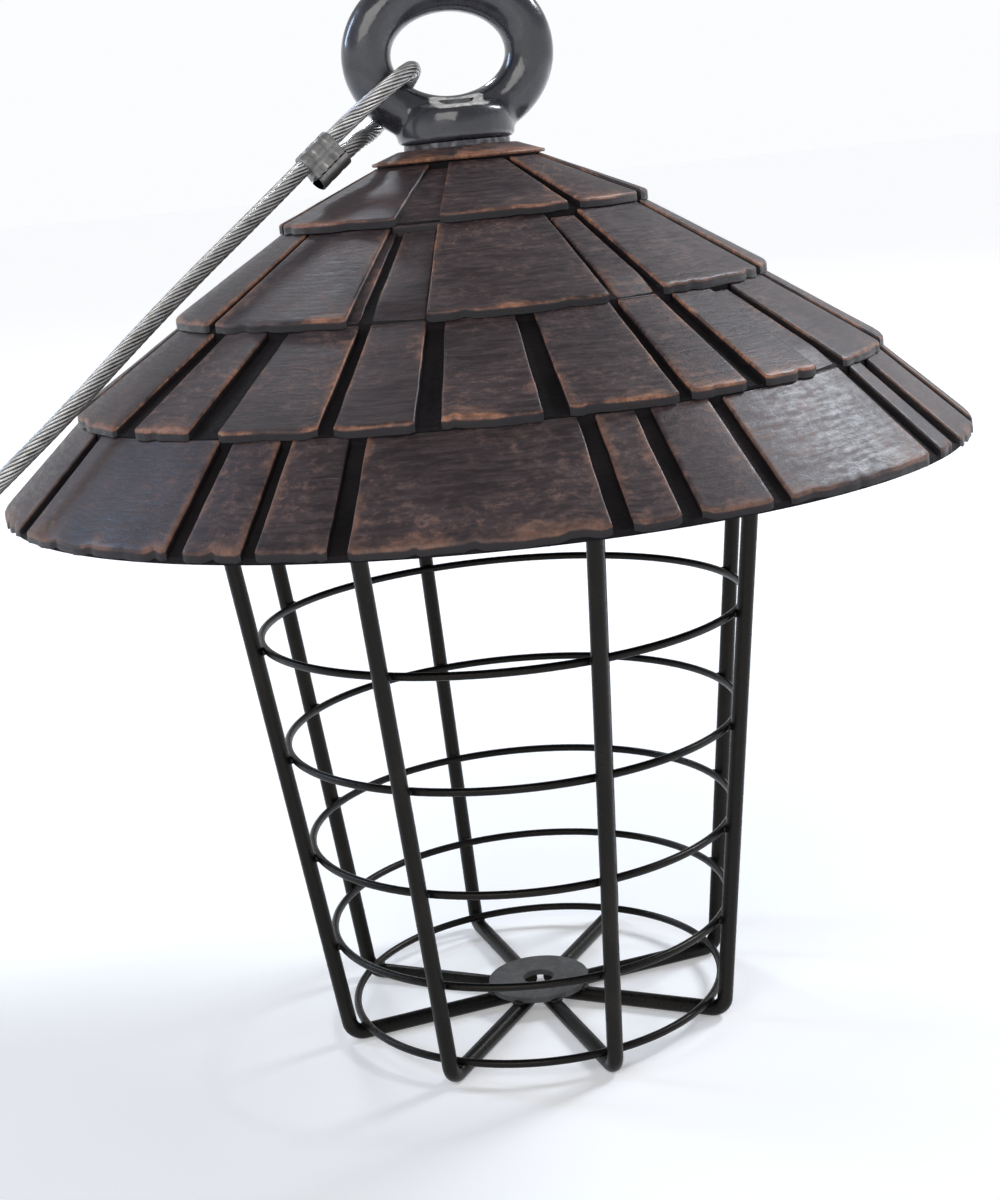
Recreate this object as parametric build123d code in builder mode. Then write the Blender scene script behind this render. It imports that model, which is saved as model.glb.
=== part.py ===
"""Hanging bird feeder: a welded wire cage under a shingled cone roof, hung from an eye nut on a steel rope.

Millimetres. +Z is up, the axis of cage and roof is the Z axis, and the cage stands on Z = 0.
The front is -Y. Azimuths are degrees from the front, positive towards +X.
"""

import os
from math import atan2, cos, degrees, pi, radians, sin, tan

from build123d import *

os.makedirs("parts", exist_ok=True)

# Cage: round uprights, each bent at the bottom into a radial spoke
UPRIGHTS = 8
UPRIGHT_R = 2.0
FIRST_UPRIGHT = radians(18.44)
CAGE_R = 53.0
CAGE_R_AT = 5.0
TAPER = 0.12
LEAN = atan2(TAPER, 1.0)
UPRIGHT_TOP = 166.0
SPOKE_Z = UPRIGHT_R
SPOKE_INNER_R = 7.0
BEND_R = 4.0

# Cage: thin rings inside the uprights, from the top one down, and the low one on the spokes
RING_R = 1.0
RING_HEIGHTS = (108.0, 79.0, 52.0, 27.0)
LOW_RING_RADIUS = 49.0
TOP_RING_R = 2.0
TOP_RING_Z = 160.0

# Base plate on the inner ends of the spokes
PLATE_R = 13.4
PLATE_T = 1.5
PLATE_HOLE_R = 4.2

# Roof: lower edge of each course, as (radius, height), from the cap down
CAP_EDGE = (21.5, 221.4)
EDGES = ((45.5, 207.8), (73.0, 188.2), (99.5, 168.6), (119.5, 147.5))
SHINGLE_RISE = 2.2
STEP = 2.4
OVERHANG = 1.2
RISER_GAP = 0.3
CAP_LIP = 0.8
CAP_TOP_R = 14.6
CAP_TOP_Z = 224.5
ROOF_HOLE_R = 6.5
PLATEAU_R = 20.0
DECK_UNDER = ((98.0, 164.0), (71.8, 183.6), (44.0, 202.6), (20.0, 216.4))
DECK_LIP_Z = 147.2
DECK_LIP_W = 2.8

# Shingles of each course: first and last azimuth of each slat
COURSE_1 = ((-75, -20), (-7, 32), (36, 67), (71, 112), (118, 140), (146, 188), (195, 226), (232, 281))
COURSE_2 = (
    (-92, -56), (-54, -22), (-8, 24), (35, 67), (70, 96), (100, 131),
    (141, 158), (161, 196), (200, 216), (222, 250), (253, 265),
)
COURSE_3 = (
    (-76, -55), (-50, -39), (-34, -20), (-18, -8), (-5, 7), (10, 24), (25.5, 34),
    (37, 47), (54, 71), (74, 84), (87, 109), (112, 121), (126, 148), (151, 158),
    (162, 181), (183, 197), (202, 224), (227, 236), (240, 257), (260, 270), (273, 281),
)
COURSE_4 = (
    (-61, -34), (-32, -25), (-23.5, -16), (-14, 11), (13, 18), (20, 28), (30, 53),
    (56, 60), (63, 74), (77, 96), (98, 104), (107, 131), (133, 141), (144, 149),
    (152, 178), (181, 190), (192, 212), (215, 221), (223, 240), (243, 266), (268, 275),
    (278, 296),
)

# Hanger inside the roof: arched strap on the top ring, M12 stud, nuts and washers
STRAP_T = 3.0
STRAP_HALF_W = 7.0
STRAP_TOP_Z = 205.9
STRAP_FLAT = 27.0
STRAP_FOOT_IN = 64.0
STRAP_FOOT_OUT = 71.0
STRAP_BEND_R = 5.0
STRAP_AZIMUTH = FIRST_UPRIGHT + pi / UPRIGHTS
STUD_R = 5.95
STUD_BOTTOM = 188.0
STUD_TOP = 235.5
STUD_CHAMFER = 1.0
THREAD_R = 6.0
NUT_FLATS = 18.0
LOWER_NUT_T = 10.0
REST_WASHER_R = 18.5
REST_WASHER_T = 3.0
TOP_WASHER_R = 13.0
TOP_WASHER_T = 1.2

# Eye nut: round bar bent to a flattened ring, on a collar
EYE_TURN = radians(12.0)
EYE_BAR_R = 6.0
EYE_HALF_W = 20.2
EYE_HALF_H = 15.7
EYE_Z = 246.4
COLLAR_R = 14.4
COLLAR_H = 8.6
COLLAR_CHAMFER = 0.8

# Wire rope with a ferrule at each end loop, leaning over the roof to the left and a little forward
ROPE_R = 2.0
LOOP_SIDE = -16.6
ROPE_FALL = radians(37.5)
ROPE_FORWARD = radians(16.0)
STRAND_HALF_GAP = 2.1
FERRULE_L = 10.0
FERRULE_WALL = 0.8
FERRULE_HOLE_R = 2.2
FERRULE_CHAMFER = 0.35
FERRULE_AT = 22.8
ROPE_FLOOR_Z = 2.1
FAR_FERRULE_Z = 2.9
BEND_SHARE = 0.45


def upright_radius(z):
    """Distance of an upright's centre line from the axis at a height."""
    return CAGE_R + TAPER * (z - CAGE_R_AT)


def inside_uprights(z, wire_r):
    """Centre-line radius of a ring that touches the uprights from inside."""
    return upright_radius(z) - (UPRIGHT_R + wire_r) / cos(LEAN)


def radial_plane(azimuth):
    """Upright plane through the axis: local X points outwards and local Y up."""
    turn = radians(azimuth - 90)
    out = Vector(cos(turn), sin(turn), 0)
    return Plane(origin=(0, 0, 0), x_dir=out, z_dir=(out.Y, -out.X, 0))


def write(part, node):
    part.label = node
    export_step(part, f"parts/{node}.step")


# ---------------------------------------------------------------- cage

for number in range(UPRIGHTS):
    turn = FIRST_UPRIGHT + number * 2 * pi / UPRIGHTS
    outwards = Vector(cos(turn), sin(turn), 0)
    top = outwards * upright_radius(UPRIGHT_TOP) + Vector(0, 0, UPRIGHT_TOP)
    corner = outwards * upright_radius(SPOKE_Z) + Vector(0, 0, SPOKE_Z)
    inner = outwards * SPOKE_INNER_R + Vector(0, 0, SPOKE_Z)
    with BuildPart() as upright:
        with BuildLine() as wire:
            FilletPolyline(inner, corner, top, radius=BEND_R)
        with BuildSketch(Plane(origin=inner, x_dir=(0, 0, 1), z_dir=outwards)):
            Circle(UPRIGHT_R)
        sweep(path=wire.line)
    write(upright.part, f"upright_{number + 1}")

for number, height in enumerate(RING_HEIGHTS, 1):
    with BuildPart() as ring:
        with Locations((0, 0, height)):
            Torus(inside_uprights(height, RING_R), RING_R)
    write(ring.part, f"ring_{number}")

with BuildPart() as low_ring:
    with Locations((0, 0, SPOKE_Z + UPRIGHT_R + RING_R)):
        Torus(LOW_RING_RADIUS, RING_R)
write(low_ring.part, "ring_5")

with BuildPart() as top_ring:
    with Locations((0, 0, TOP_RING_Z)):
        Torus(inside_uprights(TOP_RING_Z, TOP_RING_R), TOP_RING_R)
write(top_ring.part, "top_ring")

with BuildPart() as base_plate:
    with BuildSketch(Plane.XY.offset(SPOKE_Z + UPRIGHT_R)):
        Circle(PLATE_R)
        Circle(PLATE_HOLE_R, mode=Mode.SUBTRACT)
    extrude(amount=PLATE_T)
write(base_plate.part, "base_plate")

# ---------------------------------------------------------------- hanger

strap_dir = Vector(cos(STRAP_AZIMUTH), sin(STRAP_AZIMUTH), 0)
strap_mid_z = STRAP_TOP_Z - STRAP_T / 2
foot_z = TOP_RING_Z + TOP_RING_R + STRAP_T / 2
with BuildPart() as hanger_strap:
    with BuildSketch(Plane(origin=(0, 0, 0), x_dir=strap_dir, z_dir=(strap_dir.Y, -strap_dir.X, 0))):
        with BuildLine():
            FilletPolyline(
                (-STRAP_FOOT_OUT, foot_z),
                (-STRAP_FOOT_IN, foot_z),
                (-STRAP_FLAT, strap_mid_z),
                (STRAP_FLAT, strap_mid_z),
                (STRAP_FOOT_IN, foot_z),
                (STRAP_FOOT_OUT, foot_z),
                radius=STRAP_BEND_R,
            )
        trace(line_width=STRAP_T)
    extrude(amount=STRAP_HALF_W, both=True)
    with BuildSketch(Plane.XY.offset(STRAP_TOP_Z - 2 * STRAP_T)):
        Circle(THREAD_R)
    extrude(amount=3 * STRAP_T, mode=Mode.SUBTRACT)
write(hanger_strap.part, "hanger_strap")

with BuildPart() as hanger_stud:
    with BuildSketch(Plane.XY.offset(STUD_BOTTOM)):
        Circle(STUD_R)
    extrude(amount=STUD_TOP - STUD_BOTTOM)
    chamfer(hanger_stud.edges().filter_by(GeomType.CIRCLE), length=STUD_CHAMFER)
write(hanger_stud.part, "hanger_stud")

rest_z = DECK_UNDER[-1][1]
nut_bases = {
    "lower_nut": (STRAP_TOP_Z - STRAP_T - LOWER_NUT_T, LOWER_NUT_T),
    "upper_nut": (STRAP_TOP_Z, rest_z - REST_WASHER_T - STRAP_TOP_Z),
}
for node, (base_z, thickness) in nut_bases.items():
    with BuildPart() as nut:
        with BuildSketch(Plane.XY.offset(base_z)):
            RegularPolygon(NUT_FLATS / 2, 6, major_radius=False)
            Circle(THREAD_R, mode=Mode.SUBTRACT)
        extrude(amount=thickness)
    write(nut.part, node)

with BuildPart() as rest_washer:
    with BuildSketch(Plane.XY.offset(rest_z - REST_WASHER_T)):
        Circle(REST_WASHER_R)
        Circle(ROOF_HOLE_R, mode=Mode.SUBTRACT)
    extrude(amount=REST_WASHER_T)
write(rest_washer.part, "rest_washer")

# ---------------------------------------------------------------- roof

# Where each course starts: under the edge above it, one step lower
starts = []
above_r, above_z = PLATEAU_R, CAP_EDGE[1]
for edge_r, edge_z in EDGES:
    start = (above_r, above_z - STEP)
    starts.append(start)
    slope = (start[1] - edge_z) / (edge_r - start[0])
    above_r, above_z = edge_r - OVERHANG, edge_z + OVERHANG * slope
rim_r, rim_z = above_r, above_z

outline = [(ROOF_HOLE_R, CAP_EDGE[1]), (PLATEAU_R, CAP_EDGE[1])]
for (start_r, start_z), (edge_r, edge_z) in zip(starts, EDGES):
    slope = (start_z - edge_z) / (edge_r - start_r)
    outline.append((start_r, start_z))
    outline.append((edge_r - OVERHANG, edge_z + OVERHANG * slope))
outline.append((rim_r, DECK_LIP_Z))
outline.append((rim_r - DECK_LIP_W, DECK_LIP_Z))
outline += list(DECK_UNDER)
outline.append((ROOF_HOLE_R, rest_z))

with BuildPart() as roof_deck:
    with BuildSketch(radial_plane(90)):
        with BuildLine():
            Polyline(*outline, close=True)
        make_face()
    revolve(axis=Axis.Z)
write(roof_deck.part, "roof_deck")

for number, (course, start, edge) in enumerate(zip((COURSE_1, COURSE_2, COURSE_3, COURSE_4), starts, EDGES), 1):
    start_r, start_z = start
    edge_r, edge_z = edge
    slope = (start_z - edge_z) / (edge_r - start_r)
    upper_r = start_r + RISER_GAP
    upper_z = start_z - RISER_GAP * slope
    with BuildPart() as shingles:
        for first, last in course:
            with BuildSketch(radial_plane(first)):
                with BuildLine():
                    Polyline(
                        (upper_r, upper_z),
                        (edge_r, edge_z),
                        (edge_r, edge_z + SHINGLE_RISE),
                        (upper_r, upper_z + SHINGLE_RISE),
                        close=True,
                    )
                make_face()
            revolve(axis=Axis.Z, revolution_arc=last - first)
    write(shingles.part, f"shingle_course_{number}")

with BuildPart() as roof_cap:
    with BuildSketch(radial_plane(90)):
        with BuildLine():
            Polyline(
                (ROOF_HOLE_R, CAP_EDGE[1]),
                CAP_EDGE,
                (CAP_EDGE[0], CAP_EDGE[1] + CAP_LIP),
                (CAP_TOP_R, CAP_TOP_Z),
                (ROOF_HOLE_R, CAP_TOP_Z),
                close=True,
            )
        make_face()
    revolve(axis=Axis.Z)
write(roof_cap.part, "roof_cap")

# ---------------------------------------------------------------- eye nut and its washer

with BuildPart() as top_washer:
    with BuildSketch(Plane.XY.offset(CAP_TOP_Z)):
        Circle(TOP_WASHER_R)
        Circle(ROOF_HOLE_R, mode=Mode.SUBTRACT)
    extrude(amount=TOP_WASHER_T)
write(top_washer.part, "top_washer")

seat_z = CAP_TOP_Z + TOP_WASHER_T
eye_across = Vector(cos(EYE_TURN), sin(EYE_TURN), 0)
eye_front = Vector(sin(EYE_TURN), -cos(EYE_TURN), 0)
eye_plane = Plane(origin=(0, 0, EYE_Z), x_dir=eye_across, z_dir=eye_front)
with BuildPart() as eye_nut:
    with BuildLine(eye_plane) as eye_line:
        EllipticalCenterArc((0, 0), EYE_HALF_W, EYE_HALF_H, arc_size=360)
    with BuildSketch(Plane(origin=eye_line.line @ 0, x_dir=eye_across, z_dir=(0, 0, 1))):
        Circle(EYE_BAR_R)
    sweep(path=eye_line.line)
    with BuildSketch(radial_plane(90)):
        with BuildLine():
            Polyline(
                (0, seat_z),
                (COLLAR_R - COLLAR_CHAMFER, seat_z),
                (COLLAR_R, seat_z + COLLAR_CHAMFER),
                (COLLAR_R, seat_z + COLLAR_H - COLLAR_CHAMFER),
                (COLLAR_R - COLLAR_CHAMFER, seat_z + COLLAR_H),
                (0, seat_z + COLLAR_H),
                close=True,
            )
        make_face()
    revolve(axis=Axis.Z)
    with BuildSketch(Plane.XY.offset(seat_z - EYE_BAR_R)):
        Circle(3 * COLLAR_R)
    extrude(amount=EYE_BAR_R, mode=Mode.SUBTRACT)
    with BuildSketch(Plane.XY.offset(seat_z)):
        Circle(THREAD_R)
    extrude(amount=EYE_Z - seat_z, mode=Mode.SUBTRACT)
write(eye_nut.part, "eye_nut")

# ---------------------------------------------------------------- wire rope

# The near loop hangs on the lower left of the eye. Its own frame: out from the bar, up across the rope, and forward.
loop_drop = EYE_HALF_H * (1 - (LOOP_SIDE / EYE_HALF_W) ** 2) ** 0.5
loop_centre = Vector(0, 0, EYE_Z) + eye_across * LOOP_SIDE + Vector(0, 0, -loop_drop)
ring_out = eye_across * -cos(ROPE_FALL) + Vector(0, 0, -sin(ROPE_FALL))
rope_out = ring_out * cos(ROPE_FORWARD) + eye_front * sin(ROPE_FORWARD)
rope_fwd = eye_front * cos(ROPE_FORWARD) - ring_out * sin(ROPE_FORWARD)
rope_up = rope_out.cross(rope_fwd)
if rope_up.Z < 0:
    rope_up = rope_up * -1


def by_eye(out, up, fwd):
    """Point in the near loop's own frame."""
    return loop_centre + rope_out * out + rope_up * up + rope_fwd * fwd


# The far loop lies flat on the floor, beyond the left of the roof.
FAR_CENTRE = Vector(-186.0, 12.0, FAR_FERRULE_Z)
FAR_TURN = radians(97.0)
far_fwd = Vector(cos(FAR_TURN), sin(FAR_TURN), 0)
far_side = Vector(-sin(FAR_TURN), cos(FAR_TURN), 0)


def by_far(along, side):
    """Point in the far loop's own frame, with the ferrule at its origin."""
    return FAR_CENTRE + far_fwd * along + far_side * side


def on_floor(along, side):
    """The same, with the rope lying on the floor."""
    point = by_far(along, side)
    return Vector(point.X, point.Y, ROPE_FLOOR_Z)


route = [
    by_eye(29.0, -STRAND_HALF_GAP, 0),
    by_eye(20.5, -STRAND_HALF_GAP, 0.08),
    by_eye(12.5, -STRAND_HALF_GAP, 0),
    by_eye(5.0, -1.2, -9.2),
    by_eye(-8.9, -0.6, -9.0),
    by_eye(-8.9, 0.6, 9.0),
    by_eye(5.0, 1.2, 9.2),
    by_eye(12.5, STRAND_HALF_GAP, 0),
    by_eye(36.0, STRAND_HALF_GAP, 0),
    by_eye(76.0, STRAND_HALF_GAP + 0.6, 1.0),
    by_eye(119.0, STRAND_HALF_GAP - 0.8, 3.0),
    Vector(-146.0, -64.0, 132.0),
    Vector(-166.0, -66.0, 90.0),
    Vector(-178.0, -64.0, 46.0),
    Vector(-183.0, -62.0, ROPE_FLOOR_Z),
    on_floor(-40.0, STRAND_HALF_GAP + 4.0),
    by_far(-16.0, STRAND_HALF_GAP),
    by_far(17.0, STRAND_HALF_GAP),
    on_floor(35.0, 19.0),
    on_floor(70.0, 19.0),
    on_floor(71.0, -19.0),
    on_floor(36.0, -19.0),
    by_far(17.0, -STRAND_HALF_GAP),
    by_far(-6.5, -STRAND_HALF_GAP),
]

radii = []
for before, here, after in zip(route, route[1:], route[2:]):
    run_in = here - before
    run_out = after - here
    turn = radians(run_in.get_angle(run_out))
    radii.append(BEND_SHARE * min(run_in.length, run_out.length) / tan(turn / 2))
    print("turn", round(degrees(turn), 1), "radius", round(radii[-1], 1), "run", round(run_in.length, 1))

with BuildPart() as wire_rope:
    with BuildLine() as rope_line:
        FilletPolyline(*route, radius=radii)
    with BuildSketch(Plane(origin=route[0], z_dir=route[1] - route[0])):
        Circle(ROPE_R)
    sweep(path=rope_line.line)
rope_length = sum(piece.length for piece in rope_line.edges())
print("rope length", round(rope_length, 1), "volume / (section x length)",
      round(wire_rope.part.volume / (pi * ROPE_R**2 * rope_length), 4))
write(wire_rope.part, "wire_rope")


def ferrule(centre, along, across):
    """Two-lobed sleeve round two strands side by side."""
    with BuildPart() as sleeve:
        with BuildSketch(Plane(origin=centre - along * (FERRULE_L / 2), x_dir=across, z_dir=along)):
            SlotCenterToCenter(2 * STRAND_HALF_GAP, 2 * (ROPE_R + FERRULE_WALL))
        extrude(amount=FERRULE_L)
        chamfer(sleeve.edges(), length=FERRULE_CHAMFER)
        with BuildSketch(Plane(origin=centre - along * FERRULE_L, x_dir=across, z_dir=along)):
            with Locations((-STRAND_HALF_GAP, 0), (STRAND_HALF_GAP, 0)):
                Circle(FERRULE_HOLE_R)
        extrude(amount=2 * FERRULE_L, mode=Mode.SUBTRACT)
    return sleeve.part


write(ferrule(by_eye(FERRULE_AT, 0, 0), rope_out, rope_up), "eye_ferrule")
write(ferrule(by_far(0, 0), far_fwd, far_side), "end_ferrule")
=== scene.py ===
"""Looks of the hanging bird feeder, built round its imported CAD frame.

Metres. +Z is up, the cage stands on Z = 0, and the front is -Y.
Azimuths are degrees from the front, positive towards +X.
"""

import random
from math import cos, pi, radians, sin, sqrt

import bmesh
import bpy
from mathutils import Matrix, Vector, noise


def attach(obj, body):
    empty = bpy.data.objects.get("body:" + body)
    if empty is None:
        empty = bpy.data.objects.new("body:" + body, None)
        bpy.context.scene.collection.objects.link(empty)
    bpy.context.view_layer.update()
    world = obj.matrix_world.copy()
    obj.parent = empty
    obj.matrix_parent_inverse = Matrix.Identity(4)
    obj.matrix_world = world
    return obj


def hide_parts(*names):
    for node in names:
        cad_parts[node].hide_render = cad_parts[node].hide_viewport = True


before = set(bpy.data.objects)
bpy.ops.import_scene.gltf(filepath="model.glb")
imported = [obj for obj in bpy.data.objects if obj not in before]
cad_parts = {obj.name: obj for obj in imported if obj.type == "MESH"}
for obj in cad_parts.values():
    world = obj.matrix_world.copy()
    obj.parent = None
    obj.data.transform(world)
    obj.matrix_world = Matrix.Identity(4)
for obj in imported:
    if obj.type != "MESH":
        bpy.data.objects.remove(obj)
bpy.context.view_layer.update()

MM = 0.001

# ---------------------------------------------------------------- camera

CAMERA_AT = Vector((0.0, -469.8, 218.9)) * MM
CAMERA_PITCH = radians(13.0)
CAMERA_YAW = radians(-0.05)
CAMERA_ROLL = radians(5.6)
CAMERA_LENS = 56.1
SENSOR = 36.0


def make_camera():
    forward = Vector((
        sin(CAMERA_YAW) * cos(CAMERA_PITCH),
        cos(CAMERA_YAW) * cos(CAMERA_PITCH),
        -sin(CAMERA_PITCH),
    ))
    level = Vector((cos(CAMERA_YAW), -sin(CAMERA_YAW), 0))
    down = forward.cross(level)
    right = level * cos(CAMERA_ROLL) + down * sin(CAMERA_ROLL)
    up = level * sin(CAMERA_ROLL) - down * cos(CAMERA_ROLL)
    data = bpy.data.cameras.new("camera")
    data.lens = CAMERA_LENS
    data.sensor_width = SENSOR
    camera = bpy.data.objects.new("camera", data)
    bpy.context.scene.collection.objects.link(camera)
    turned = Matrix((right, up, -forward)).transposed().to_4x4()
    camera.matrix_world = Matrix.Translation(CAMERA_AT) @ turned
    bpy.context.scene.camera = camera


make_camera()

# ---------------------------------------------------------------- helpers


def add_mesh(name, verts, faces, smooth=True):
    """A new mesh object from points in metres."""
    mesh = bpy.data.meshes.new(name)
    mesh.from_pydata([tuple(v) for v in verts], [], faces)
    mesh.validate()
    if smooth:
        mesh.shade_smooth()
    made = bpy.data.objects.new(name, mesh)
    bpy.context.scene.collection.objects.link(made)
    return made


def add_floats(piece, name, values):
    attribute = piece.data.attributes.new(name, "FLOAT", "POINT")
    attribute.data.foreach_set("value", values)


def add_vectors(piece, name, values):
    attribute = piece.data.attributes.new(name, "FLOAT_VECTOR", "POINT")
    attribute.data.foreach_set("vector", [x for v in values for x in v])


def place(piece, body, slot, *nodes):
    """The piece rides on a body and stands for CAD nodes, which are hidden. The slot is not used."""
    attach(piece, body)
    if nodes:
        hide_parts(*nodes)


def shape_noise(x, y, z=0.0):
    """Smooth noise of about -1 to 1."""
    return noise.noise(Vector((x, y, z)))


def smoothstep(low, high, x):
    t = min(1.0, max(0.0, (x - low) / (high - low)))
    return t * t * (3 - 2 * t)


def fix_normals(piece):
    """Turns every face of a closed mesh outwards."""
    work = bmesh.new()
    work.from_mesh(piece.data)
    bmesh.ops.recalc_face_normals(work, faces=work.faces)
    work.to_mesh(piece.data)
    work.free()


def tube(points, frames, radius, sides, verts, faces):
    """Adds a closed round tube, whose sections lie in the frames' (u, v) planes."""
    first = len(verts)
    for point, (u, v) in zip(points, frames):
        for k in range(sides):
            turn = 2 * pi * k / sides
            verts.append(point + u * (radius * cos(turn)) + v * (radius * sin(turn)))
    for i in range(len(points) - 1):
        for k in range(sides):
            a = first + i * sides + k
            b = first + i * sides + (k + 1) % sides
            faces.append((a, b, b + sides, a + sides))
    last = first + (len(points) - 1) * sides
    faces.append(tuple(first + k for k in reversed(range(sides))))
    faces.append(tuple(last + k for k in range(sides)))


# ---------------------------------------------------------------- wire rope

EYE_TURN = radians(12.0)
EYE_BAR_R = 6.0 * MM
EYE_HALF_W = 20.2 * MM
EYE_HALF_H = 15.7 * MM
EYE_Z = 246.4 * MM
EYE_CENTRE = Vector((0, 0, EYE_Z))
ROPE_R = 2.0 * MM
LOOP_SIDE = -16.6 * MM
ROPE_FALL = radians(37.5)
ROPE_FORWARD = radians(16.0)
STRAND_HALF_GAP = 2.1 * MM
FERRULE_AT = 22.8 * MM
ROPE_FLOOR_Z = 2.1 * MM
FAR_FERRULE_Z = 2.9 * MM
FAR_CENTRE = Vector((-186.0 * MM, 12.0 * MM, FAR_FERRULE_Z))
FAR_TURN = radians(97.0)

eye_across = Vector((cos(EYE_TURN), sin(EYE_TURN), 0))
eye_front = Vector((sin(EYE_TURN), -cos(EYE_TURN), 0))
loop_drop = EYE_HALF_H * sqrt(1 - (LOOP_SIDE / EYE_HALF_W) ** 2)
loop_centre = EYE_CENTRE + eye_across * LOOP_SIDE - Vector((0, 0, loop_drop))
ring_out = eye_across * -cos(ROPE_FALL) - Vector((0, 0, sin(ROPE_FALL)))
rope_out = ring_out * cos(ROPE_FORWARD) + eye_front * sin(ROPE_FORWARD)
rope_fwd = eye_front * cos(ROPE_FORWARD) - ring_out * sin(ROPE_FORWARD)
rope_up = rope_out.cross(rope_fwd)
if rope_up.z < 0:
    rope_up.negate()
far_fwd = Vector((cos(FAR_TURN), sin(FAR_TURN), 0))
far_side = Vector((-sin(FAR_TURN), cos(FAR_TURN), 0))


def by_eye(out, up, forward):
    """Point in the near loop's own frame, from millimetres."""
    return loop_centre + (rope_out * out + rope_up * up + rope_fwd * forward) * MM


def by_far(along, side):
    """Point in the far loop's own frame, from millimetres."""
    return FAR_CENTRE + (far_fwd * along + far_side * side) * MM


def on_floor(along, side):
    """The same, with the rope lying on the floor."""
    point = by_far(along, side)
    return Vector((point.x, point.y, ROPE_FLOOR_Z))


ROPE_ROUTE = [
    by_eye(27.5, -2.1, 0),
    by_eye(20.5, -2.1, 0.08),
    by_eye(12.5, -2.5, -0.5),
    by_eye(4.6, -4.6, -9.2),
    by_eye(-8.6, -2.8, -9.2),
    by_eye(-8.9, 1.0, 9.0),
    by_eye(5.0, 2.3, 9.3),
    by_eye(12.5, 2.3, 0.3),
    by_eye(36.0, 2.1, 0),
    by_eye(76.0, 2.7, 1.0),
    by_eye(119.0, 1.3, 3.0),
    Vector((-0.146, -0.064, 0.132)),
    Vector((-0.166, -0.066, 0.090)),
    Vector((-0.178, -0.064, 0.046)),
    Vector((-0.183, -0.062, ROPE_FLOOR_Z)),
    on_floor(-40.0, 6.1),
    by_far(-16.0, 2.1),
    by_far(17.0, 2.1),
    on_floor(35.0, 19.0),
    on_floor(70.0, 19.0),
    on_floor(71.0, -19.0),
    on_floor(36.0, -19.0),
    by_far(17.0, -2.1),
    by_far(-6.5, -2.1),
]

WIRES = 12
WIRE_R = 0.41 * MM
WIRE_SIDES = 6
LAY = 26.0 * MM
ROPE_STEP = 0.7 * MM
CORE_R = 1.25 * MM
CORE_SIDES = 8


def rope_line():
    """Points along the route's NURBS spline."""
    data = bpy.data.curves.new("rope_route", "CURVE")
    data.dimensions = "3D"
    data.resolution_u = 20
    spline = data.splines.new("NURBS")
    spline.points.add(len(ROPE_ROUTE) - 1)
    for point, place_at in zip(spline.points, ROPE_ROUTE):
        point.co = (*place_at, 1.0)
    spline.order_u = 3
    spline.use_endpoint_u = True
    carrier = bpy.data.objects.new("rope_route", data)
    bpy.context.scene.collection.objects.link(carrier)
    mesh = bpy.data.meshes.new_from_object(carrier)
    line = [v.co.copy() for v in mesh.vertices]
    bpy.data.objects.remove(carrier)
    return line


def even_steps(line, step):
    """Points a fixed distance apart along a line."""
    made = [line[0]]
    left = step
    for a, b in zip(line, line[1:]):
        run = (b - a).length
        done = 0.0
        while run - done > left:
            done += left
            made.append(a.lerp(b, done / run))
            left = step
        left -= run - done
    if (line[-1] - made[-1]).length > step / 4:
        made.append(line[-1])
    return made


def level_frames(points):
    """A (u, v) pair across the line at each point, turning as little as it can."""
    frames = []
    u = Vector((0, 0, 1))
    for i, point in enumerate(points):
        ahead = points[min(i + 1, len(points) - 1)]
        behind = points[max(i - 1, 0)]
        along = (ahead - behind).normalized()
        u = (u - along * u.dot(along)).normalized()
        frames.append((u.copy(), along.cross(u)))
    return frames


def wire_turn(wire, step):
    """How far round the core a wire has gone at a step along the rope."""
    return 2 * pi * (wire / WIRES + step * ROPE_STEP / LAY)


def make_rope():
    """Twisted steel wires round a core, along the rope's line."""
    points = even_steps(rope_line(), ROPE_STEP)
    frames = level_frames(points)
    verts, faces = [], []
    tube(points, frames, CORE_R, CORE_SIDES, verts, faces)
    reach = ROPE_R - WIRE_R
    for wire in range(WIRES):
        path = []
        for i, (point, (u, v)) in enumerate(zip(points, frames)):
            turn = wire_turn(wire, i)
            path.append(point + u * (reach * cos(turn)) + v * (reach * sin(turn)))
        tube(path, frames, WIRE_R, WIRE_SIDES, verts, faces)
    return add_mesh("rope_wires", verts, faces), points


FERRULE_L = 10.0 * MM
FERRULE_OUT_R = 2.8 * MM
LOBE_VALLEY = 0.55 * MM
FERRULE_ROUND = 0.4 * MM
FERRULE_STEPS = 36
LOBE_STEPS = 14
VALLEY_STEPS = 10
FERRULE_SHARP = radians(40)
CRIMPS = (0.3, 0.7)
CRIMP_FADE = (0.09, 0.05)
CRIMP_DEPTH = 0.10 * MM


def lobed_outline(shrink):
    """Two-lobed outline, pinched between the lobes; shrink draws it in."""
    points = []
    radius = FERRULE_OUT_R - shrink
    for side in (1, -1):
        for k in range(LOBE_STEPS + 1):
            turn = side * (pi / 2 - pi * k / LOBE_STEPS)
            if side < 0:
                turn = pi + turn
            points.append((side * STRAND_HALF_GAP + radius * cos(turn), radius * sin(turn)))
        for k in range(1, VALLEY_STEPS):
            x = STRAND_HALF_GAP * (1 - 2 * k / VALLEY_STEPS)
            dip = LOBE_VALLEY * (0.5 + 0.5 * cos(pi * x / STRAND_HALF_GAP))
            points.append((side * x, -side * (radius - dip)))
    return points


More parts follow.
